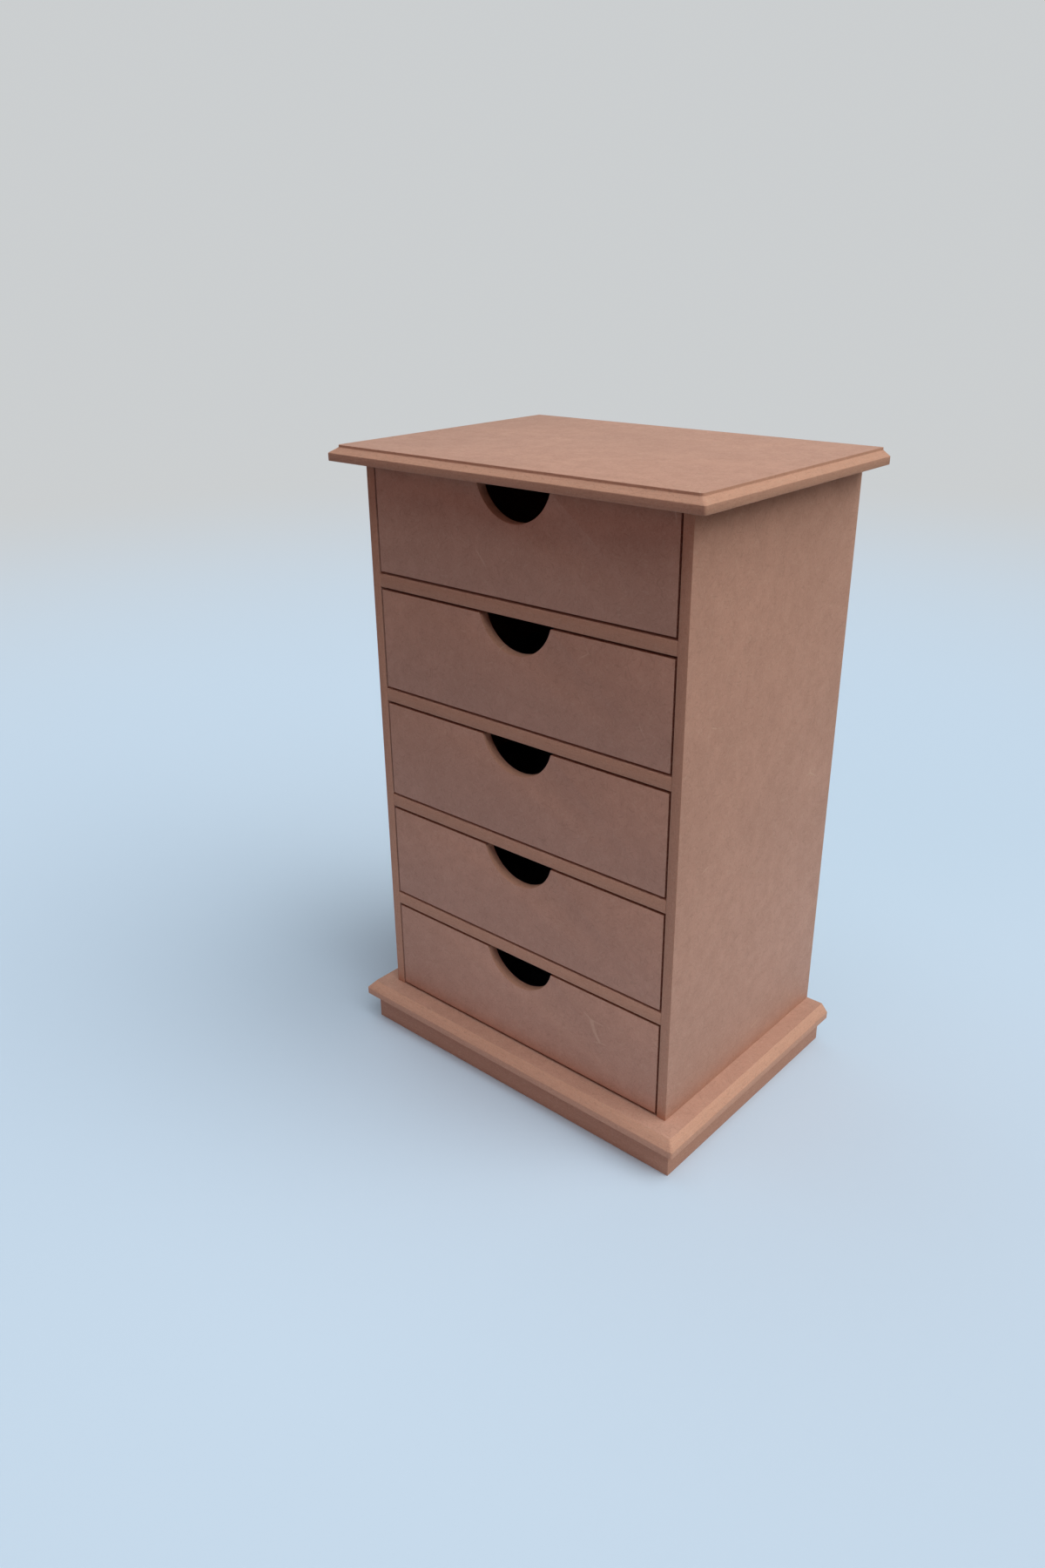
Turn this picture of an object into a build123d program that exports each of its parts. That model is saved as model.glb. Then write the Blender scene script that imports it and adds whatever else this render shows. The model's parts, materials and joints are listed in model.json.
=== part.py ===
from build123d import *
import os

# Five-drawer jewellery chest in plain fibreboard. Millimetres, +Z up, the front faces -Y.
# The origin is the centre of the chest's plan, at the level of the plinth's underside.

# Carcass boards
carcass_width = 213.0
carcass_depth = 156.0
side_board = 6.0
divider_board = 7.5
back_board = 3.0
back_rebate = 3.0

# Compartments: all alike, and the top one has a little more room under the overhang
drawer_count = 5
compartment_height = 60.3
top_compartment_extra = 1.1

# Top and base boards, bevelled along the front and both sides and flush at the back.
# Inside its bevel the top board's face also stands up by the field step.
overhang = 14.5
top_board = 8.4
base_board = 9.0
bevel_width = 4.2
plain_edge = 4.2
field_step = 1.4
corner_radius = 1.2

# Plinth under the base board, set back from its bevelled edge
plinth_board = 18.0
plinth_overhang = 9.0

# Drawer boards
front_board = 6.0
wall_board = 3.0
floor_board = 3.0
wall_drop = 2.0
felt_sheet = 1.5

# Running clearances around a drawer, and the felt's margin to the walls
side_clearance = 1.0
top_clearance = 1.3
front_lift = 1.1
seat_clearance = 0.3
rear_clearance = 0.3
felt_margin = 0.5

# Half-moon finger notch: a round cut whose centre lies above the drawer front
notch_radius = 25.0
notch_rise = 6.4

# Levels and planes that follow
panel_width = carcass_width + 2 * overhang
panel_depth = carcass_depth + overhang
rear = panel_depth / 2
front = rear - carcass_depth
half_width = carcass_width / 2
half_inside = half_width - side_board
back_face = rear - back_board
pitch = compartment_height + divider_board
carcass_height = drawer_count * pitch - divider_board + top_compartment_extra
base_top = plinth_board + base_board
carcass_top = base_top + carcass_height
drawer_height = compartment_height - top_clearance - seat_clearance
drawer_length = back_face - front - rear_clearance
half_drawer = half_inside - side_clearance


def board(low, high):
    """A flat board between two opposite corners."""
    size = [top - bottom for bottom, top in zip(low, high)]
    return Pos(*low) * Box(*size, align=(Align.MIN, Align.MIN, Align.MIN))


def round_front_corners(slab, radius):
    """Round the two upright edges at the slab's front."""
    upright = slab.edges().filter_by(Axis.Z).sort_by(Axis.Y)
    return fillet(upright[:2], radius)


def bevelled_panel(level, thickness, step):
    """A board bevelled round its front and sides over a plain edge, with its face raised by the step."""
    shoulder = level + thickness - step
    half_panel = panel_width / 2
    outline = board((-half_panel, -rear, level), (half_panel, rear, shoulder))
    upper = outline.faces().sort_by(Axis.Z)[-1]
    rim = upper.edges().sort_by(Axis.Y)[:-1]
    bevelled = chamfer(rim, bevel_width, thickness - step - plain_edge, reference=upper)
    slab = bevelled & round_front_corners(outline, corner_radius)
    if step == 0.0:
        return slab
    half_field = half_panel - bevel_width
    return slab + board((-half_field, -rear + bevel_width, shoulder), (half_field, rear, level + thickness))


def plinth():
    """The plain board that the chest stands on, flush with the carcass at the back."""
    half_plinth = half_width + plinth_overhang
    return board((-half_plinth, front - plinth_overhang, 0.0), (half_plinth, rear, plinth_board))


def side_panel(side):
    """A side board, rebated inside at the back for the back board; side is -1 or 1."""
    inner, outer = sorted((side * half_inside, side * half_width))
    blank = board((inner, front, base_top), (outer, rear, carcass_top))
    near, far = sorted((side * half_inside, side * (half_inside + back_rebate)))
    rebate = board((near, back_face, base_top), (far, rear, carcass_top))
    return blank - rebate


def back_panel():
    """The thin back board, held in the rebates of the side boards."""
    half_back = half_inside + back_rebate
    return board((-half_back, back_face, base_top), (half_back, rear, carcass_top))


def compartment_floor(number):
    """The level that drawer number runs on; drawer 1 is the top one."""
    return base_top + (drawer_count - number) * pitch


def divider(number):
    """The shelf under drawer number."""
    top = compartment_floor(number)
    return board((-half_inside, front, top - divider_board), (half_inside, back_face, top))


def drawer_pieces(number):
    """The six pieces of one drawer, by name. The front's lower edge stands a little above the floor's."""
    bottom = compartment_floor(number) + seat_clearance
    top = bottom + drawer_height
    floor_top = bottom + floor_board
    wall_top = top - wall_drop
    box_front = front + front_board
    box_rear = front + drawer_length
    half_box = half_drawer - wall_board
    back_front = box_rear - wall_board

    blank = board((-half_drawer, front, bottom + front_lift), (half_drawer, box_front, top))
    notch = Pos(0, front, top + notch_rise) * Rot(90, 0, 0) * Cylinder(notch_radius, 4 * front_board)
    left = board((-half_drawer, box_front, floor_top), (-half_box, box_rear, wall_top))
    right = board((half_box, box_front, floor_top), (half_drawer, box_rear, wall_top))
    back = board((-half_box, back_front, floor_top), (half_box, box_rear, wall_top))
    floor = board((-half_drawer, box_front, bottom), (half_drawer, box_rear, floor_top))
    felt_low = (-half_box + felt_margin, box_front + felt_margin, floor_top)
    felt_high = (half_box - felt_margin, back_front - felt_margin, floor_top + felt_sheet)
    return {
        "front": blank - notch,
        "left_wall": left,
        "right_wall": right,
        "back_wall": back,
        "floor": floor,
        "lining": board(felt_low, felt_high),
    }


def chest():
    """Every piece of the chest, by node name."""
    nodes = {
        "plinth": plinth(),
        "base_panel": bevelled_panel(plinth_board, base_board, 0.0),
        "top_panel": bevelled_panel(carcass_top, top_board, field_step),
        "left_side": side_panel(-1),
        "right_side": side_panel(1),
        "back_panel": back_panel(),
    }
    for number in range(1, drawer_count):
        nodes[f"divider_{number}"] = divider(number)
    for number in range(1, drawer_count + 1):
        for name, piece in drawer_pieces(number).items():
            nodes[f"drawer_{number}_{name}"] = piece
    return nodes


os.makedirs("parts", exist_ok=True)
for name, piece in chest().items():
    export_step(piece, f"parts/{name}.step")

print("overall", panel_width, "x", panel_depth, "x", carcass_top + top_board)
print("drawer front", 2 * half_drawer, "x", drawer_height - front_lift, "drawer length", drawer_length)
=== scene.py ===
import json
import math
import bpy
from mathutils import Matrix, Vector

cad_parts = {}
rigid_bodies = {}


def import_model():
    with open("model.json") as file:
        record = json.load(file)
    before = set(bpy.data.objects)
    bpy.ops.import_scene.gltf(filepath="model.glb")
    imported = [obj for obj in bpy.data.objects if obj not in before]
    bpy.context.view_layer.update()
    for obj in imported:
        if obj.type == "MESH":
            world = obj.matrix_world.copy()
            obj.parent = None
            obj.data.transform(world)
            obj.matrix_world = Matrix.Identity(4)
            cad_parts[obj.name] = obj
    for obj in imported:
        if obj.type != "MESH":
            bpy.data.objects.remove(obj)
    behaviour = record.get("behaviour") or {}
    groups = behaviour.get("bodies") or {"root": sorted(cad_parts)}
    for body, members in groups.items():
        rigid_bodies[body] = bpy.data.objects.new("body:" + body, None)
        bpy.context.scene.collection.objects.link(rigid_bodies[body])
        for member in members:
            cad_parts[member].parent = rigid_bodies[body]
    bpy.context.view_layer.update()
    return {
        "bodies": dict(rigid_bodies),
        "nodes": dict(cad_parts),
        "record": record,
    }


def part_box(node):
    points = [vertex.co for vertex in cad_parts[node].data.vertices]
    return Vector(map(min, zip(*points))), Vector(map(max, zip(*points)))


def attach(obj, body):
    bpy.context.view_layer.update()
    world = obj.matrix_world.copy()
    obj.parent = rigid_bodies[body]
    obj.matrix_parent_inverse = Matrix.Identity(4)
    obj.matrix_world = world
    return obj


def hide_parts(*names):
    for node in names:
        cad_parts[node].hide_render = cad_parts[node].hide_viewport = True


bl_info = {
    "name": "Jewelry drawer chest",
    "version": (1, 0, 0),
    "blender": (4, 5, 0),
    "location": "3D View > Sidebar > Drawer chest",
    "description": "Builds a raw fibreboard drawer chest board by board around its CAD frame",
    "category": "Add Mesh",
}

import bmesh
import bpy
from bpy.props import FloatProperty, FloatVectorProperty, IntProperty, PointerProperty
from mathutils import Matrix, Vector

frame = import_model()

BODY_OF = {node: body for body, nodes in frame["record"]["behaviour"]["bodies"].items() for node in nodes}
DRAWERS = sorted(body for body in frame["bodies"] if body.startswith("drawer_"))
SHELVES = sorted(node for node in frame["nodes"] if node.startswith("divider_"))
MM = 0.001

# Lengths that count as equal, and how far up a face's normal points when the face lies level
TINY = 1e-5
LEVEL = 0.999

# Edges that turn more than this are sharp: they are sanded, and shading isn't smoothed over them
SHARP = math.radians(40)

# How far the cut edges of each kind of board are darkened towards the sawn colour, from 0 to 1: saw browning, and
# on the drawer fronts and the plinth also painted shade, of the gaps round the drawers and under the base board's
# overhang
BROWNED_AND_SHADED = {"clean": 0.15, "plinth": 0.35, "box": 0.5, "front": 0.9}

# A face counts as cut where its normal has less than this share along the board's. The second takes in arrises,
# so that the painted gap shade on the drawer fronts covers their arrises too
CUT_SQUARE = 0.75
CUT_WITH_ARRIS = 0.97

# Widths of the two kinds of pressed fibre
FINE_FIBRE = 0.30 * MM
COARSE_FIBRE = 0.95 * MM

# For the axis that a board is thin along: the turn that lays its grain in its plane, and its plane's normal
BOARD_TURN = {
    "X": ((0.0, math.radians(90), 0.0), (1.0, 0.0, 0.0)),
    "Y": ((math.radians(90), 0.0, 0.0), (0.0, 1.0, 0.0)),
    "Z": ((0.0, 0.0, 0.0), (0.0, 0.0, 1.0)),
}


def colour_property(name, description, default):
    """A colour that a user would change."""
    return FloatVectorProperty(
        name=name, description=description, default=default, subtype="COLOR", size=3, min=0.0, max=1.0
    )


def length_property(name, description, default):
    """A length that a user would change, in metres."""
    return FloatProperty(
        name=name, description=description, default=default, subtype="DISTANCE", unit="LENGTH", min=0.0
    )


def count_property(name, description, default, most):
    """A number of faces that a user would change."""
    return IntProperty(name=name, description=description, default=default, min=1, max=most)


class ChestBoardSettings(bpy.types.PropertyGroup):
    """Sizes of the edges that are worked on the boards."""

    eased_edge: length_property("Eased edge", "Width of the sanded arris on every board", 0.35 * MM)
    front_arris: length_property("Front arris", "Width of the sanded arris on the drawer fronts", 0.9 * MM)
    eased_steps: count_property("Eased edge steps", "Faces across a sanded arris", 2, 6)
    bevel_width: length_property("Bevel width", "Width of the bevel round the top and base boards", 4.2 * MM)
    plain_edge: length_property("Plain edge", "Height of the plain edge under the bevel", 4.2 * MM)
    field_step: length_property("Field step", "How far the top board's face stands up inside its bevel", 1.4 * MM)
    corner_radius: length_property("Corner radius", "Rounding of the two bevelled boards' corners", 1.2 * MM)
    round_steps: count_property("Round steps", "Faces round a corner of the boards", 5, 32)
    notch_radius: length_property("Notch radius", "Radius of the half-moon finger notch", 25.0 * MM)
    notch_rise: length_property("Notch rise", "Height of the notch's centre above the drawer front", 6.4 * MM)
    felt_unevenness: length_property("Felt unevenness", "How far the felt's top dips", 0.25 * MM)
    rebate: length_property("Back rebate", "Depth of the rebate that the back board lies in", 3.0 * MM)


class ChestFinishSettings(bpy.types.PropertyGroup):
    """Colours of the raw board and the felt."""

    face_colour: colour_property("Face", "Sanded face of the raw board", (0.577, 0.318, 0.231))
    edge_colour: colour_property("Routed edge", "Routed edge, where the pale core shows", (0.640, 0.350, 0.238))
    # The sawn colour is also the painted shade in the gaps round the drawer fronts, and under the base board's
    # overhang on the plinth
    sawn_and_shade_colour: colour_property("Sawn edge", "Sawn edge, browned by the saw", (0.180, 0.048, 0.025))
    fibre_colour: colour_property("Pale fibre", "Pale fibres pressed into the faces", (0.66, 0.45, 0.33))
    speck_colour: colour_property("Dark speck", "Dark specks of bark in the board", (0.17, 0.075, 0.045))
    felt_colour: colour_property("Felt", "Navy felt in the drawers", (0.042, 0.055, 0.100))


class ChestStageSettings(bpy.types.PropertyGroup):
    """Camera, floor and lamps."""

    camera_place: FloatVectorProperty(
        name="Camera place", description="Where the camera stands", default=(0.38999, -0.50260, 0.45759),
        subtype="XYZ", unit="LENGTH", size=3
    )
    camera_turn: FloatProperty(
        name="Camera turn", description="Compass turn of the view from straight on", default=math.radians(41.742),
        subtype="ANGLE", unit="ROTATION"
    )
    camera_dip: FloatProperty(
        name="Camera dip", description="How far the view looks down", default=math.radians(24.034),
        subtype="ANGLE", unit="ROTATION"
    )
    camera_roll: FloatProperty(
        name="Camera roll", description="How far the camera leans sideways", default=math.radians(-0.641),
        subtype="ANGLE", unit="ROTATION"
    )
    camera_lens: FloatProperty(
        name="Lens", description="Focal length in mm, on a frame 36 mm high", default=26.979, min=1.0
    )
    floor_colour: colour_property("Floor", "Plain pale floor", (0.68, 0.82, 0.96))
    backdrop_colour: colour_property("Backdrop", "Plain pale backdrop behind the chest", (0.60, 0.62, 0.63))
    floor_reach: length_property("Floor reach", "How far from the chest the floor throws light back", 0.5)
    light_level: FloatProperty(
        name="Light level", description="Strength of all the lamps together", default=1.0, min=0.0
    )
    light_softness: FloatProperty(
        name="Light softness", description="How wide each soft light looks from the chest",
        default=math.radians(60), subtype="ANGLE", unit="ROTATION"
    )


def only(piece):
    """Select one object and make it active."""
    bpy.ops.object.select_all(action="DESELECT")
    piece.select_set(True)
    bpy.context.view_layer.objects.active = piece


def block(name, low, high):
    """A cube brought to its size and place in edit mode, so that its object stays at the origin."""
    bpy.ops.object.select_all(action="DESELECT")
    bpy.ops.mesh.primitive_cube_add(size=1.0, location=(0.0, 0.0, 0.0))
    piece = bpy.context.object
    piece.name = name
    piece.data.name = name
    bpy.ops.object.mode_set(mode="EDIT")
    bpy.ops.mesh.select_all(action="SELECT")
    bpy.ops.transform.resize(value=high - low)
    bpy.ops.transform.translate(value=(low + high) / 2)
    bpy.ops.object.mode_set(mode="OBJECT")
    return piece


def select_edges(test):
    """In edit mode, select only the edges whose two ends pass the test."""
    bpy.ops.mesh.select_mode(type="EDGE")
    bpy.ops.mesh.select_all(action="DESELECT")
    mesh = bmesh.from_edit_mesh(bpy.context.object.data)
    for edge in mesh.edges:
        if test(edge.verts[0].co, edge.verts[1].co):
            edge.select_set(True)
    bmesh.update_edit_mesh(bpy.context.object.data)


def select_faces(test):
    """In edit mode, select only the faces whose normal passes the test."""
    bpy.ops.mesh.select_mode(type="FACE")
    bpy.ops.mesh.select_all(action="DESELECT")
    mesh = bmesh.from_edit_mesh(bpy.context.object.data)
    for face in mesh.faces:
        if test(face.normal):
            face.select_set(True)
    bmesh.update_edit_mesh(bpy.context.object.data)


def ease_sharp_edges(piece, width, steps):
    """Sand the arrises: a small bevel on every sharp edge, then smooth shading over it."""
    only(piece)
    bpy.ops.object.mode_set(mode="EDIT")
    bpy.ops.mesh.select_mode(type="EDGE")
    bpy.ops.mesh.select_all(action="DESELECT")
    bpy.ops.mesh.edges_select_sharp(sharpness=SHARP)
    bpy.ops.mesh.bevel(offset=width, segments=steps, profile=0.5, affect="EDGES", clamp_overlap=True)
    bpy.ops.object.mode_set(mode="OBJECT")
    bpy.ops.object.shade_smooth_by_angle(angle=SHARP)


def cut_away(piece, cutter):
    """Cut one object's shape out of a piece and remove the cutter."""
    only(piece)
    cut = piece.modifiers.new("Cut", "BOOLEAN")
    cut.operation = "DIFFERENCE"
    cut.solver = "EXACT"
    cut.object = cutter
    bpy.ops.object.modifier_apply(modifier=cut.name)
    bpy.data.objects.remove(cutter)


def copy_board(piece, name, node_from, node_to):
    """A copy of a finished piece with its own mesh, moved from one CAD node's place to another's."""
    only(piece)
    bpy.ops.object.duplicate(linked=False)
    copied = bpy.context.object
    copied.name = copied.data.name = name
    bpy.ops.object.mode_set(mode="EDIT")
    bpy.ops.mesh.select_all(action="SELECT")
    bpy.ops.transform.translate(value=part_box(node_to)[0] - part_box(node_from)[0])
    bpy.ops.object.mode_set(mode="OBJECT")
    return copied


def board_for_each(first, label, nodes):
    """The first board and a copy at each further CAD node, made before any of them stands for its own node."""
    copies = [copy_board(first, f"{label}_{count}", nodes[0], node) for count, node in enumerate(nodes[1:], 2)]
    return [first, *copies]


def in_each_drawer(part):
    """The CAD nodes of one part of the drawers, from the top drawer down."""
    return [f"{drawer}_{part}" for drawer in DRAWERS]


def stand_for(piece, node):
    """The piece takes the CAD node's place and body, and the CAD node is hidden."""
    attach(piece, BODY_OF[node])
    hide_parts(node)


def bevelled_board(name, node, step, settings):
    """A board bevelled round its front and sides over a plain edge, with its face raised by the step."""
    low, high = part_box(node)
    bevel_drop = high.z - low.z - step - settings.plain_edge
    full_bevel = low.z + settings.plain_edge + settings.bevel_width
    piece = block(name, low, Vector((high.x, high.y, full_bevel)))
    bpy.ops.object.mode_set(mode="EDIT")
    select_edges(lambda a, b: min(a.z, b.z) > full_bevel - TINY and min(a.y, b.y) < high.y - TINY)
    bpy.ops.mesh.bevel(offset=settings.bevel_width, segments=1, affect="EDGES", clamp_overlap=False)
    select_faces(lambda normal: normal.z > LEVEL)
    bpy.ops.transform.translate(value=(0.0, 0.0, bevel_drop - settings.bevel_width))
    bevelled_to = low.y + settings.bevel_width + TINY
    select_edges(lambda a, b: max(a.y, b.y) < bevelled_to and abs(a.z - b.z) > TINY)
    bpy.ops.mesh.bevel(
        offset=settings.corner_radius, segments=settings.round_steps, profile=0.5, affect="EDGES",
        clamp_overlap=False
    )
    if step:
        select_faces(lambda normal: normal.z > LEVEL)
        bpy.ops.mesh.extrude_region_move(TRANSFORM_OT_translate={"value": (0.0, 0.0, step)})
    bpy.ops.object.mode_set(mode="OBJECT")
    ease_sharp_edges(piece, settings.eased_edge, settings.eased_steps)
    return piece


def plain_board(name, node, settings):
    """A sawn board with eased edges."""
    low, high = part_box(node)
    piece = block(name, low, high)
    ease_sharp_edges(piece, settings.eased_edge, settings.eased_steps)
    return piece


def add(tree, kind, inputs=None, **options):
    """Add a node, set its options and feed each input a value or another node's output."""
    made = tree.nodes.new(kind)
    for option, value in options.items():
        setattr(made, option, value)
    for key, value in (inputs or {}).items():
        if isinstance(value, bpy.types.NodeSocket):
            tree.links.new(value, made.inputs[key])
        else:
            made.inputs[key].default_value = value
    return made


def new_group(name, inputs, outputs):
    """An empty shader group and its input and output sockets, by name."""
    tree = bpy.data.node_groups.new(name, "ShaderNodeTree")
    for label, kind, default in inputs:
        socket = tree.interface.new_socket(label, in_out="INPUT", socket_type=kind)
        socket.default_value = default
    for label, kind in outputs:
        tree.interface.new_socket(label, in_out="OUTPUT", socket_type=kind)
    return tree, tree.nodes.new("NodeGroupInput").outputs, tree.nodes.new("NodeGroupOutput").inputs


def math_node(tree, operation, *values):
    """The output of a Math node."""
    made = add(tree, "ShaderNodeMath", dict(enumerate(values)), operation=operation)
    return made.outputs["Value"]


def weighted_sum(tree, first, first_share, second, second_share):
    """Two values added, each by its own share."""
    parts = [math_node(tree, "MULTIPLY", *part) for part in ((first, first_share), (second, second_share))]
    return math_node(tree, "ADD", *parts)


def ramp(tree, value, low, high):
    """A value taken smoothly from between low and high to between 0 and 1."""
    ends = {"Value": value, "From Min": low, "From Max": high}
    made = add(tree, "ShaderNodeMapRange", ends, interpolation_type="SMOOTHSTEP")
    return made.outputs["Result"]


def mix(tree, factor, first, second):
    """The output of a colour Mix node, whose colour sockets are inputs 6 and 7 and output 2."""
    made = tree.nodes.new("ShaderNodeMix")
    made.data_type = "RGBA"
    for socket, value in ((made.inputs["Factor"], factor), (made.inputs[6], first), (made.inputs[7], second)):
        if isinstance(value, bpy.types.NodeSocket):
            tree.links.new(value, socket)
        else:
            socket.default_value = value
    return made.outputs[2]


def noise(tree, vector, scale, detail=2.0, roughness=0.5):
    """The output of a noise texture."""
    made = add(
        tree, "ShaderNodeTexNoise",
        {"Vector": vector, "Scale": scale, "Detail": detail, "Roughness": roughness},
    )
    return made.outputs["Fac"]


def swayed(tree, vector, scale, detail, reach):
    """A place moved a little by a noise of its own, so that straight patterns bend."""
    wander = add(tree, "ShaderNodeTexNoise", {"Vector": vector, "Scale": scale, "Detail": detail})
    pushed = {0: wander.outputs["Color"], "Scale": reach}
    nudge = add(tree, "ShaderNodeVectorMath", pushed, operation="SCALE").outputs["Vector"]
    return add(tree, "ShaderNodeVectorMath", {0: vector, 1: nudge}, operation="ADD").outputs["Vector"]


def pressed_fibres():
    """Short fibres that lie every way in the board's plane: pale ones, dark specks and a height."""
    tree, given, result = new_group(
        "Pressed fibres",
        [("Vector", "NodeSocketVector", (0.0, 0.0, 0.0)), ("Width", "NodeSocketFloat", FINE_FIBRE)],
        [("Pale", "NodeSocketFloat"), ("Dark", "NodeSocketFloat"), ("Height", "NodeSocketFloat")],
    )
    frequency = math_node(tree, "DIVIDE", 1.0, given["Width"])
    bent = swayed(tree, given["Vector"], 160.0, 1.0, 0.0035)
    pale = dark = height = None
    for lean in (12, 57, 101, 146):
        turned = add(
            tree, "ShaderNodeMapping",
            {"Vector": bent, "Rotation": (0.0, 0.0, math.radians(lean)), "Scale": (7.0, 1.0, 1.0)},
            vector_type="TEXTURE",
        ).outputs["Vector"]
        strand = noise(tree, turned, frequency, 1.0, 0.4)
        lit = ramp(tree, strand, 0.62, 0.76)
        shade = ramp(tree, strand, 0.36, 0.25)
        pale = lit if pale is None else math_node(tree, "MAXIMUM", pale, lit)
        dark = shade if dark is None else math_node(tree, "MAXIMUM", dark, shade)
        height = strand if height is None else math_node(tree, "ADD", height, strand)
    tree.links.new(pale, result["Pale"])
    tree.links.new(dark, result["Dark"])
    tree.links.new(height, result["Height"])
    return tree


def cloudy_tone():
    """Slow changes of tone across a board, from 0 to 1."""
    tree, given, result = new_group(
        "Cloudy tone",
        [("Vector", "NodeSocketVector", (0.0, 0.0, 0.0))],
        [("Broad", "NodeSocketFloat"), ("Blotch", "NodeSocketFloat")],
    )
    tree.links.new(ramp(tree, noise(tree, given["Vector"], 14.0, 3.0, 0.55), 0.3, 0.7), result["Broad"])
    tree.links.new(ramp(tree, noise(tree, given["Vector"], 110.0, 3.0, 0.6), 0.3, 0.7), result["Blotch"])
    return tree


def cut_edge():
    """Where the board was sawn or routed: 1 on faces that don't lie in the board's plane."""
    tree, given, result = new_group(
        "Cut edge",
        [
            ("Board normal", "NodeSocketVector", (0.0, 0.0, 1.0)),
            ("Vector", "NodeSocketVector", (0.0, 0.0, 0.0)),
            ("Square from", "NodeSocketFloat", CUT_SQUARE),
        ],
        [("Mask", "NodeSocketFloat"), ("Square", "NodeSocketFloat"), ("Layers", "NodeSocketFloat")],
    )
    normal = add(tree, "ShaderNodeNewGeometry").outputs["Normal"]
    facing = add(
        tree, "ShaderNodeVectorMath", {0: normal, 1: given["Board normal"]}, operation="DOT_PRODUCT"
    ).outputs["Value"]
    flatness = math_node(tree, "ABSOLUTE", facing)
    flat = add(
        tree, "ShaderNodeMapping", {"Vector": given["Vector"], "Scale": (90.0, 90.0, 1800.0)}
    ).outputs["Vector"]
    tree.links.new(ramp(tree, flatness, 0.97, 0.80), result["Mask"])
    square = ramp(tree, flatness, given["Square from"], math_node(tree, "SUBTRACT", given["Square from"], 0.35))
    tree.links.new(square, result["Square"])
    tree.links.new(noise(tree, flat, 1.0, 3.0, 0.6), result["Layers"])
    return tree


def handling_marks():
    """Sparse small nicks and hair scratches left by handling."""
    tree, given, result = new_group(
        "Handling marks",
        [("Vector", "NodeSocketVector", (0.0, 0.0, 0.0))],
        [("Nick", "NodeSocketFloat"), ("Scratch", "NodeSocketFloat")],
    )
    ragged = swayed(tree, given["Vector"], 420.0, 2.0, 0.0022)
    cells = add(tree, "ShaderNodeTexVoronoi", {"Vector": ragged, "Scale": 30.0, "Randomness": 1.0})
    spot = ramp(tree, cells.outputs["Distance"], 0.016, 0.006)
    chance = add(tree, "ShaderNodeSeparateColor", {"Color": cells.outputs["Color"]}).outputs["Red"]
    tree.links.new(math_node(tree, "MULTIPLY", spot, ramp(tree, chance, 0.66, 0.76)), result["Nick"])
    curled = swayed(tree, given["Vector"], 22.0, 0.0, 0.02)
    drawn = add(tree, "ShaderNodeTexVoronoi", {"Vector": curled, "Scale": 26.0}, feature="DISTANCE_TO_EDGE")
    line = ramp(tree, drawn.outputs["Distance"], 0.012, 0.004)
    broken = ramp(tree, noise(tree, given["Vector"], 48.0, 1.0), 0.66, 0.74)
    tree.links.new(math_node(tree, "MULTIPLY", line, broken), result["Scratch"])
    return tree


GROUPS = {}


def shader_group(maker):
    """A shared group, built the first time that it is asked for."""
    if maker not in GROUPS:
        GROUPS[maker] = maker()
    return GROUPS[maker]


def place_group(tree, maker, **inputs):
    """One copy of a shared group in a material, with its own values."""
    named = {key.replace("_", " "): value for key, value in inputs.items()}
    return add(tree, "ShaderNodeGroup", named, node_tree=shader_group(maker)).outputs


def rgba(colour, tone=1.0):
    """A colour with its alpha, lightened or darkened by a tone."""
    return tuple(min(1.0, channel * tone) for channel in colour) + (1.0,)


def notch_spared_from_shade(tree, place, half_width):
    """1 on the upward edge of a finger notch in the board's middle, which is kept paler: it is spared the painted
    gap shade put on the other edges.
    """
    aside = math_node(tree, "ABSOLUTE", add(tree, "ShaderNodeSeparateXYZ", {"Vector": place}).outputs["X"])
    normal = add(tree, "ShaderNodeNewGeometry").outputs["Normal"]
    upward = ramp(tree, add(tree, "ShaderNodeSeparateXYZ", {"Vector": normal}).outputs["Z"], -0.1, 0.1)
    return math_node(tree, "MULTIPLY", ramp(tree, aside, half_width, 0.98 * half_width), upward)


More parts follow.
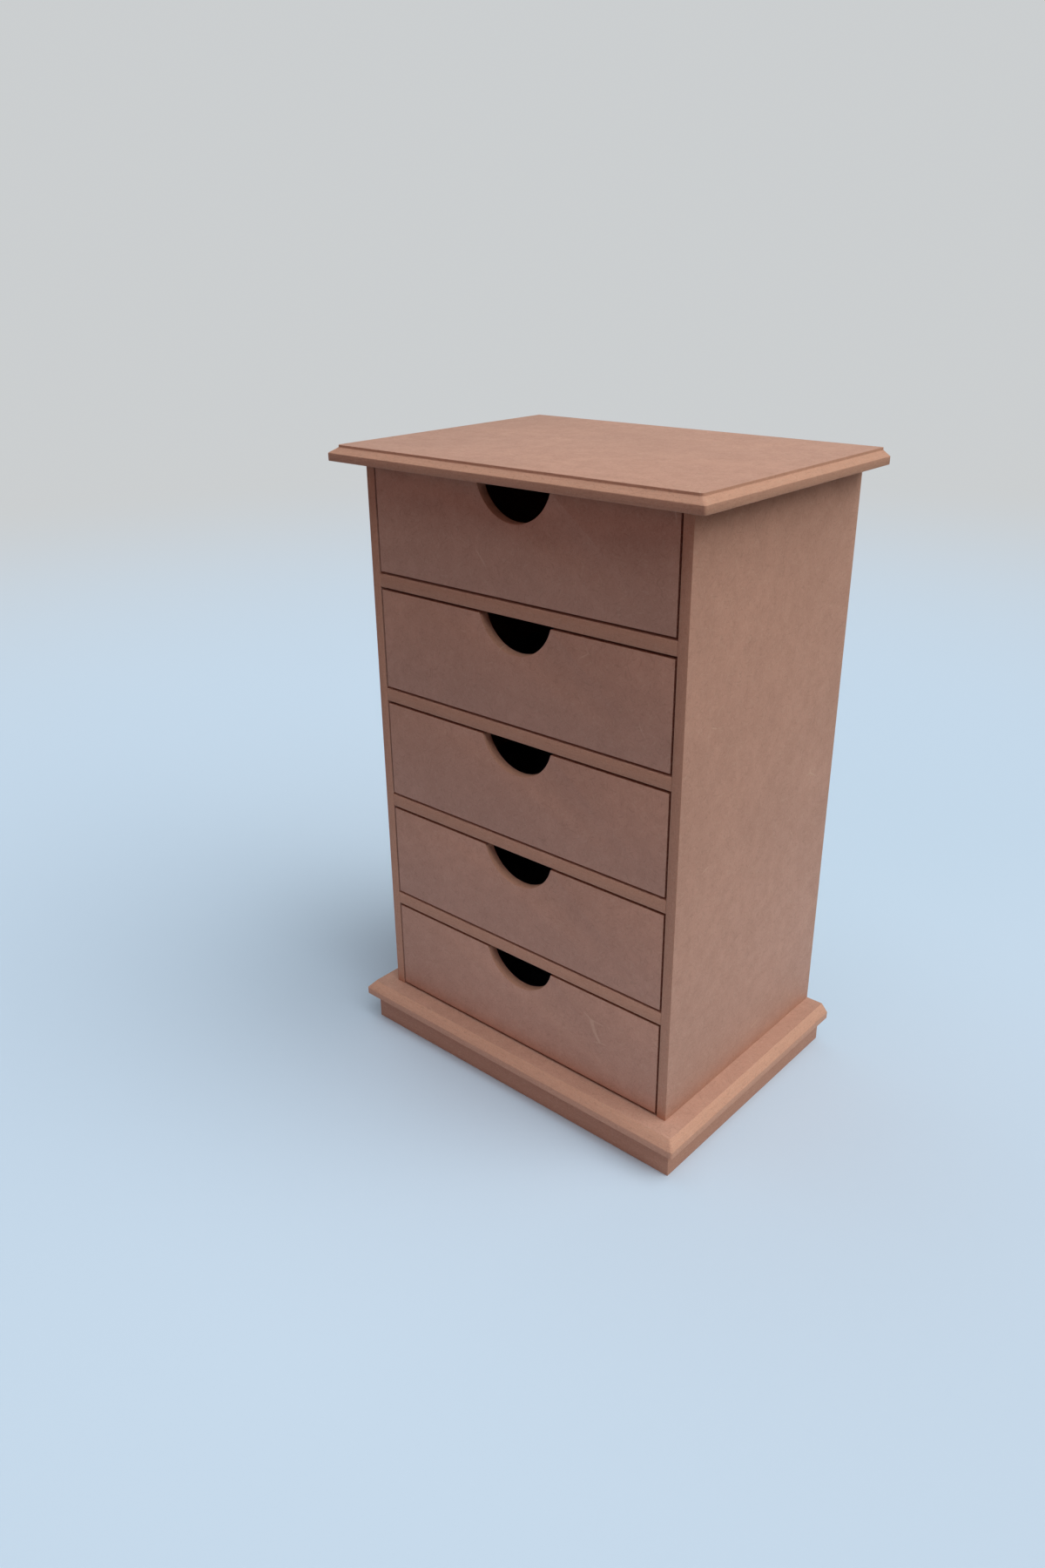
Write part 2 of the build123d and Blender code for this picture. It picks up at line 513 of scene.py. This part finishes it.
def fibreboard(name, across, finish, shift, browned_and_shaded, square_from=CUT_SQUARE, half_notch=0.0):
    """Raw fibreboard. Across is the axis that the board is thin along, and shift moves its pattern.

    The fifth argument is how far the cut edges go towards the sawn colour, from 0 to 1: saw browning, and on some
    boards painted shade. half_notch is half a finger notch's width.
    """
    material = bpy.data.materials.new(name)
    material.use_nodes = True
    tree = material.node_tree
    surface = tree.nodes["Principled BSDF"]
    turn, board_normal = BOARD_TURN[across]
    place = add(tree, "ShaderNodeTexCoord").outputs["Object"]
    grain = add(
        tree, "ShaderNodeMapping",
        {"Vector": place, "Location": (shift, 0.37 * shift, -0.61 * shift), "Rotation": turn},
    ).outputs["Vector"]
    fine = place_group(tree, pressed_fibres, Vector=grain, Width=FINE_FIBRE)
    coarse = place_group(tree, pressed_fibres, Vector=grain, Width=COARSE_FIBRE)
    cloud = place_group(tree, cloudy_tone, Vector=grain)
    edge = place_group(tree, cut_edge, Board_normal=board_normal, Vector=grain, Square_from=square_from)
    mark = place_group(tree, handling_marks, Vector=grain)

    face = finish.face_colour
    broad = mix(tree, cloud["Broad"], rgba(face, 0.95), rgba(face, 1.05))
    blotched = mix(tree, math_node(tree, "MULTIPLY", cloud["Blotch"], 0.5), broad, rgba(face, 0.86))
    routed = mix(tree, edge["Layers"], rgba(finish.edge_colour, 0.86), rgba(finish.edge_colour, 1.12))
    cut = mix(tree, edge["Mask"], blotched, routed)
    # Cut edges darkened towards the sawn colour: saw browning, and on the drawer fronts and plinth painted shade.
    # The upward notch edge is spared most of the painted gap shade
    burnt_and_shaded = math_node(tree, "MULTIPLY", edge["Square"], browned_and_shaded)
    if half_notch:
        sanded = math_node(tree, "MULTIPLY", notch_spared_from_shade(tree, place, half_notch), 0.75)
        burnt_and_shaded = math_node(tree, "MULTIPLY", burnt_and_shaded, math_node(tree, "SUBTRACT", 1.0, sanded))
    cut = mix(tree, burnt_and_shaded, cut, rgba(finish.sawn_and_shade_colour))
    pale = weighted_sum(tree, fine["Pale"], 0.22, coarse["Pale"], 0.20)
    flecked = mix(tree, pale, cut, rgba(finish.fibre_colour))
    dark = weighted_sum(tree, fine["Dark"], 0.16, coarse["Dark"], 0.14)
    specked = mix(tree, dark, flecked, rgba(finish.speck_colour))
    worn = weighted_sum(tree, mark["Nick"], 0.40, mark["Scratch"], 0.40)
    marked = mix(tree, worn, specked, rgba(finish.fibre_colour, 1.1))
    tree.links.new(marked, surface.inputs["Base Color"])

    rougher = weighted_sum(tree, edge["Mask"], 0.14, cloud["Blotch"], 0.08)
    tree.links.new(math_node(tree, "ADD", 0.66, rougher), surface.inputs["Roughness"])
    surface.inputs["Specular IOR Level"].default_value = 0.32

    skin = math_node(tree, "MULTIPLY", fine["Height"], 0.00003)
    core = math_node(tree, "MULTIPLY", math_node(tree, "MULTIPLY", edge["Layers"], edge["Mask"]), 0.00016)
    height = math_node(tree, "ADD", skin, core)
    height = math_node(tree, "SUBTRACT", height, math_node(tree, "MULTIPLY", mark["Nick"], 0.0001))
    bump = add(tree, "ShaderNodeBump", {"Height": height, "Strength": 0.8, "Distance": 1.0})
    tree.links.new(bump.outputs["Normal"], surface.inputs["Normal"])
    return material


def felt_fuzz():
    """Matted wool: a fine fuzz and slow changes where it is pressed."""
    tree, given, result = new_group(
        "Felt fuzz",
        [("Vector", "NodeSocketVector", (0.0, 0.0, 0.0))],
        [("Fuzz", "NodeSocketFloat"), ("Pressed", "NodeSocketFloat")],
    )
    fibre = noise(tree, given["Vector"], 2600.0, 4.0, 0.7)
    tuft = noise(tree, given["Vector"], 600.0, 3.0, 0.6)
    tree.links.new(math_node(tree, "ADD", fibre, tuft), result["Fuzz"])
    tree.links.new(ramp(tree, noise(tree, given["Vector"], 30.0, 3.0, 0.6), 0.3, 0.7), result["Pressed"])
    return tree


def felt(finish):
    """Soft navy felt."""
    material = bpy.data.materials.new("Navy felt")
    material.use_nodes = True
    tree = material.node_tree
    surface = tree.nodes["Principled BSDF"]
    place = add(tree, "ShaderNodeTexCoord").outputs["Object"]
    fuzz = place_group(tree, felt_fuzz, Vector=place)
    woolly = ramp(tree, fuzz["Fuzz"], 0.7, 1.3)
    deep = mix(tree, fuzz["Pressed"], rgba(finish.felt_colour, 0.8), rgba(finish.felt_colour, 1.25))
    colour = mix(tree, woolly, deep, rgba(finish.felt_colour, 2.4))
    tree.links.new(colour, surface.inputs["Base Color"])
    surface.inputs["Roughness"].default_value = 0.95
    surface.inputs["Specular IOR Level"].default_value = 0.15
    surface.inputs["Sheen Weight"].default_value = 0.12
    surface.inputs["Sheen Roughness"].default_value = 0.5
    bump = add(
        tree, "ShaderNodeBump",
        {"Height": math_node(tree, "MULTIPLY", fuzz["Fuzz"], 0.00025), "Strength": 0.9, "Distance": 1.0},
    )
    tree.links.new(bump.outputs["Normal"], surface.inputs["Normal"])
    return material


class CHEST_OT_top_and_base(bpy.types.Operator):
    """Make the bevelled top and base boards"""

    bl_idname = "chest.top_and_base"
    bl_label = "Top and base"

    def execute(self, context):
        boards, finish = context.scene.chest_boards, context.scene.chest_finish
        panels = (
            ("bevelled_top", "top_panel", boards.field_step, 0.0),
            ("bevelled_base", "base_panel", 0.0, 1.3),
        )
        for name, node, step, shift in panels:
            piece = bevelled_board(name, node, step, boards)
            piece.data.materials.append(fibreboard(name, "Z", finish, shift, BROWNED_AND_SHADED["clean"]))
            stand_for(piece, node)
        return {"FINISHED"}


class CHEST_OT_plinth(bpy.types.Operator):
    """Make the plinth that the base board lies on"""

    bl_idname = "chest.plinth"
    bl_label = "Plinth"

    def execute(self, context):
        boards, finish = context.scene.chest_boards, context.scene.chest_finish
        piece = plain_board("plinth_block", "plinth", boards)
        # The plinth's sawn sides are darkened more than the other plain boards: painted shade under the base
        # board's overhang
        piece.data.materials.append(fibreboard("plinth_block", "Z", finish, 5.9, BROWNED_AND_SHADED["plinth"]))
        stand_for(piece, "plinth")
        return {"FINISHED"}


class CHEST_OT_side_boards(bpy.types.Operator):
    """Make the two side boards, rebated at the back"""

    bl_idname = "chest.side_boards"
    bl_label = "Side boards"

    def execute(self, context):
        boards, finish = context.scene.chest_boards, context.scene.chest_finish
        back_low, back_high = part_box("back_panel")
        for name, node, shift in (("side_board_left", "left_side", 2.1), ("side_board_right", "right_side", 2.9)):
            low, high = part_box(node)
            piece = block(name, low, high)
            below = Vector((0.0, 0.0, boards.rebate))
            beyond = Vector((0.0, boards.rebate, boards.rebate))
            cut_away(piece, block("rebate_cutter", back_low - below, back_high + beyond))
            ease_sharp_edges(piece, boards.eased_edge, boards.eased_steps)
            piece.data.materials.append(fibreboard(name, "X", finish, shift, BROWNED_AND_SHADED["clean"]))
            stand_for(piece, node)
        return {"FINISHED"}


class CHEST_OT_back_board(bpy.types.Operator):
    """Make the thin back board"""

    bl_idname = "chest.back_board"
    bl_label = "Back board"

    def execute(self, context):
        boards, finish = context.scene.chest_boards, context.scene.chest_finish
        piece = plain_board("rear_board", "back_panel", boards)
        piece.data.materials.append(fibreboard("rear_board", "Y", finish, 3.7, BROWNED_AND_SHADED["clean"]))
        stand_for(piece, "back_panel")
        return {"FINISHED"}


class CHEST_OT_shelves(bpy.types.Operator):
    """Make the shelves between the drawers"""

    bl_idname = "chest.shelves"
    bl_label = "Shelves"

    def execute(self, context):
        boards, finish = context.scene.chest_boards, context.scene.chest_finish
        first = plain_board("shelf_1", SHELVES[0], boards)
        pieces = board_for_each(first, "shelf", SHELVES)
        for count, (piece, node) in enumerate(zip(pieces, SHELVES), 1):
            piece.data.materials.append(fibreboard(piece.name, "Z", finish, 4.0 + count, BROWNED_AND_SHADED["clean"]))
            stand_for(piece, node)
        return {"FINISHED"}


def notched_front(name, node, settings):
    """A drawer front with the half-moon finger notch cut into its upper edge."""
    low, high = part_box(node)
    middle = (low + high) / 2
    piece = block(name, low, high)
    bpy.ops.object.select_all(action="DESELECT")
    bpy.ops.mesh.primitive_cylinder_add(
        vertices=180, radius=settings.notch_radius, depth=4 * (high.y - low.y),
        location=(middle.x, middle.y, high.z + settings.notch_rise), rotation=(math.radians(90), 0.0, 0.0)
    )
    cut_away(piece, bpy.context.object)
    ease_sharp_edges(piece, settings.front_arris, settings.eased_steps)
    return piece


class CHEST_OT_drawer_fronts(bpy.types.Operator):
    """Make the drawer fronts with their half-moon finger notches"""

    bl_idname = "chest.drawer_fronts"
    bl_label = "Drawer fronts"

    def execute(self, context):
        boards, finish = context.scene.chest_boards, context.scene.chest_finish
        nodes = in_each_drawer("front")
        half_notch = math.sqrt(boards.notch_radius ** 2 - boards.notch_rise ** 2)
        first = notched_front("notched_front_1", nodes[0], boards)
        pieces = board_for_each(first, "notched_front", nodes)
        for count, (piece, node) in enumerate(zip(pieces, nodes), 1):
            # The fronts' edges and arrises are darkened nearly to the sawn colour: painted shade of the gaps
            # round each drawer
            stock = fibreboard(piece.name, "Y", finish, 9.0 + count, BROWNED_AND_SHADED["front"], CUT_WITH_ARRIS, half_notch)
            piece.data.materials.append(stock)
            stand_for(piece, node)
        return {"FINISHED"}


class CHEST_OT_drawer_boxes(bpy.types.Operator):
    """Make the walls and floor of each drawer"""

    bl_idname = "chest.drawer_boxes"
    bl_label = "Drawer boxes"

    def execute(self, context):
        boards, finish = context.scene.chest_boards, context.scene.chest_finish
        parts = (("left_wall", "X"), ("right_wall", "X"), ("back_wall", "Y"), ("floor", "Z"))
        for part, across in parts:
            nodes = in_each_drawer(part)
            first = plain_board(f"{part}_1", nodes[0], boards)
            first.data.materials.append(fibreboard(f"drawer_{part}", across, finish, 15.0, BROWNED_AND_SHADED["box"]))
            for piece, node in zip(board_for_each(first, part, nodes), nodes):
                stand_for(piece, node)
        return {"FINISHED"}


def felt_sheet(name, node, settings):
    """A soft sheet of felt: a fine grid given its thickness and a slightly uneven top."""
    low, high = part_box(node)
    size = high - low
    bpy.ops.object.select_all(action="DESELECT")
    bpy.ops.mesh.primitive_grid_add(x_subdivisions=128, y_subdivisions=96, size=1.0, location=(0.0, 0.0, 0.0))
    piece = bpy.context.object
    piece.name = piece.data.name = name
    bpy.ops.object.mode_set(mode="EDIT")
    bpy.ops.mesh.select_all(action="SELECT")
    bpy.ops.transform.resize(value=(size.x, size.y, 1.0))
    bpy.ops.transform.translate(value=((low.x + high.x) / 2, (low.y + high.y) / 2, low.z))
    bpy.ops.object.mode_set(mode="OBJECT")
    thick = piece.modifiers.new("Thickness", "SOLIDIFY")
    thick.thickness = size.z
    thick.offset = 1.0
    bpy.ops.object.modifier_apply(modifier=thick.name)
    worn = bpy.data.textures.new("Felt unevenness", "CLOUDS")
    worn.noise_scale = 0.018
    uneven = piece.modifiers.new("Uneven", "DISPLACE")
    uneven.texture = worn
    uneven.texture_coords = "LOCAL"
    uneven.direction = "Z"
    uneven.mid_level = 1.0
    uneven.strength = settings.felt_unevenness
    top = piece.vertex_groups.new(name="top")
    top.add([v.index for v in piece.data.vertices if v.co.z > (low.z + high.z) / 2], 1.0, "REPLACE")
    uneven.vertex_group = top.name
    bpy.ops.object.modifier_apply(modifier=uneven.name)
    piece.vertex_groups.clear()
    bpy.ops.object.shade_smooth_by_angle(angle=SHARP)
    return piece


class CHEST_OT_felt_linings(bpy.types.Operator):
    """Lay a sheet of felt on each drawer's floor"""

    bl_idname = "chest.felt_linings"
    bl_label = "Felt linings"

    def execute(self, context):
        boards = context.scene.chest_boards
        nodes = in_each_drawer("lining")
        first = felt_sheet("felt_1", nodes[0], boards)
        first.data.materials.append(felt(context.scene.chest_finish))
        pieces = board_for_each(first, "felt", nodes)
        for count, (piece, node) in enumerate(zip(pieces, nodes), 1):
            stand_for(piece, node)
        return {"FINISHED"}


def looked_at(tree):
    """1 for what the camera sees, straight or in gloss and glass, and 0 for light on the object."""
    path = add(tree, "ShaderNodeLightPath").outputs
    mirrored = math_node(tree, "MAXIMUM", path["Is Glossy Ray"], path["Is Transmission Ray"])
    return math_node(tree, "MAXIMUM", path["Is Camera Ray"], mirrored)


def stage_floor(stage):
    """A wide plain floor. It fades into the backdrop, and only the floor near the chest throws light back."""
    bpy.ops.object.select_all(action="DESELECT")
    bpy.ops.mesh.primitive_plane_add(size=30.0, location=(0.0, 0.0, 0.0))
    floor = bpy.context.object
    floor.name = "pale_floor"
    material = bpy.data.materials.new("Pale floor")
    material.use_nodes = True
    tree = material.node_tree
    surface = tree.nodes["Principled BSDF"]
    surface.inputs["Roughness"].default_value = 0.9
    surface.inputs["Specular IOR Level"].default_value = 0.0
    place = add(tree, "ShaderNodeTexCoord").outputs["Object"]
    away = add(tree, "ShaderNodeVectorMath", {0: place}, operation="LENGTH").outputs["Value"]
    seen = looked_at(tree)
    near = ramp(tree, away, 1.3 * stage.floor_reach, 0.7 * stage.floor_reach)
    lit = math_node(tree, "MAXIMUM", seen, near)
    colour = mix(tree, lit, (0.0, 0.0, 0.0, 1.0), rgba(stage.floor_colour))
    tree.links.new(colour, surface.inputs["Base Color"])
    far = add(tree, "ShaderNodeEmission", {"Color": rgba(stage.backdrop_colour)})
    fade = math_node(tree, "MULTIPLY", seen, ramp(tree, away, 0.6, 2.2))
    both = add(tree, "ShaderNodeMixShader", {0: fade, 1: surface.outputs["BSDF"], 2: far.outputs["Emission"]})
    tree.links.new(both.outputs["Shader"], tree.nodes["Material Output"].inputs["Surface"])
    floor.data.materials.append(material)


def stage_world(scene, stage):
    """No light of its own, and a plain pale backdrop for what the camera sees behind the chest."""
    world = bpy.data.worlds.new("Pale room")
    scene.world = world
    world.use_nodes = True
    tree = world.node_tree
    tree.nodes.clear()
    seen = add(tree, "ShaderNodeBackground", {"Color": rgba(stage.backdrop_colour), "Strength": looked_at(tree)})
    add(tree, "ShaderNodeOutputWorld", {"Surface": seen.outputs["Background"]})


# Name, compass angle from the front towards the right, height angle, strength and colour of each soft light
LAMPS = (
    ("right_window", 88, 54, 0.47, (0.95, 0.97, 1.00)),
    ("back_window", 120, 50, 0.15, (0.93, 1.00, 1.00)),
    ("left_window", 270, 55, 0.12, (0.80, 0.94, 1.00)),
    ("overhead", 0, 90, 0.22, (0.88, 0.96, 1.00)),
    ("low_right", 115, 18, 0.14, (1.00, 0.82, 0.60)),
    ("low_front", 0, 15, 0.14, (1.00, 0.55, 0.50)),
)


def stage_lamp(name, turn, rise, strength, colour, stage):
    """A wide soft light from one direction. At strength 1 a face turned to it shows its own colour."""
    turn, rise = math.radians(turn), math.radians(rise)
    towards = Vector((math.sin(turn) * math.cos(rise), -math.cos(turn) * math.cos(rise), math.sin(rise)))
    bpy.ops.object.light_add(type="SUN", location=towards, rotation=towards.to_track_quat("Z", "Y").to_euler())
    lamp = bpy.context.object
    lamp.name = name
    lamp.data.color = colour
    lamp.data.energy = math.pi * strength * stage.light_level
    lamp.data.angle = stage.light_softness


def stage_camera(scene, stage):
    """The camera at the photograph's viewing angle."""
    bpy.ops.object.camera_add(location=stage.camera_place)
    camera = bpy.context.object
    camera.name = "photo_view"
    turn = Matrix.Rotation(stage.camera_turn, 4, "Z")
    tilt = Matrix.Rotation(math.radians(90) - stage.camera_dip, 4, "X")
    lean = Matrix.Rotation(stage.camera_roll, 4, "Z")
    camera.rotation_euler = (turn @ tilt @ lean).to_euler()
    camera.data.sensor_width = 36.0
    camera.data.lens = stage.camera_lens
    camera.data.clip_start = 0.01
    scene.camera = camera


class CHEST_OT_stage(bpy.types.Operator):
    """Set the floor, the light and the camera"""

    bl_idname = "chest.stage"
    bl_label = "Stage"

    def execute(self, context):
        scene, stage = context.scene, context.scene.chest_stage
        stage_floor(stage)
        stage_world(scene, stage)
        for lamp in LAMPS:
            stage_lamp(*lamp, stage)
        stage_camera(scene, stage)
        scene.view_settings.view_transform = "Standard"
        return {"FINISHED"}


STEPS = (
    CHEST_OT_top_and_base,
    CHEST_OT_plinth,
    CHEST_OT_side_boards,
    CHEST_OT_back_board,
    CHEST_OT_shelves,
    CHEST_OT_drawer_fronts,
    CHEST_OT_drawer_boxes,
    CHEST_OT_felt_linings,
    CHEST_OT_stage,
)


class CHEST_PT_sidebar(bpy.types.Panel):
    """Lists the steps that build the chest"""

    bl_label = "Drawer chest"
    bl_idname = "CHEST_PT_sidebar"
    bl_space_type = "VIEW_3D"
    bl_region_type = "UI"
    bl_category = "Drawer chest"

    def draw(self, context):
        for step in STEPS:
            self.layout.operator(step.bl_idname)


SETTINGS = {
    "chest_boards": ChestBoardSettings,
    "chest_finish": ChestFinishSettings,
    "chest_stage": ChestStageSettings,
}


def register():
    """Add the settings, the steps and the panel."""
    for kind in (*SETTINGS.values(), *STEPS, CHEST_PT_sidebar):
        bpy.utils.register_class(kind)
    for name, kind in SETTINGS.items():
        setattr(bpy.types.Scene, name, PointerProperty(type=kind))


def unregister():
    """Take them away again."""
    for name in SETTINGS:
        delattr(bpy.types.Scene, name)
    for kind in (CHEST_PT_sidebar, *reversed(STEPS), *SETTINGS.values()):
        bpy.utils.unregister_class(kind)


def main():
    """Run every step in order."""
    register()
    for step in STEPS:
        group, name = step.bl_idname.split(".")
        getattr(getattr(bpy.ops, group), name)()


if __name__ == "__main__":
    main()
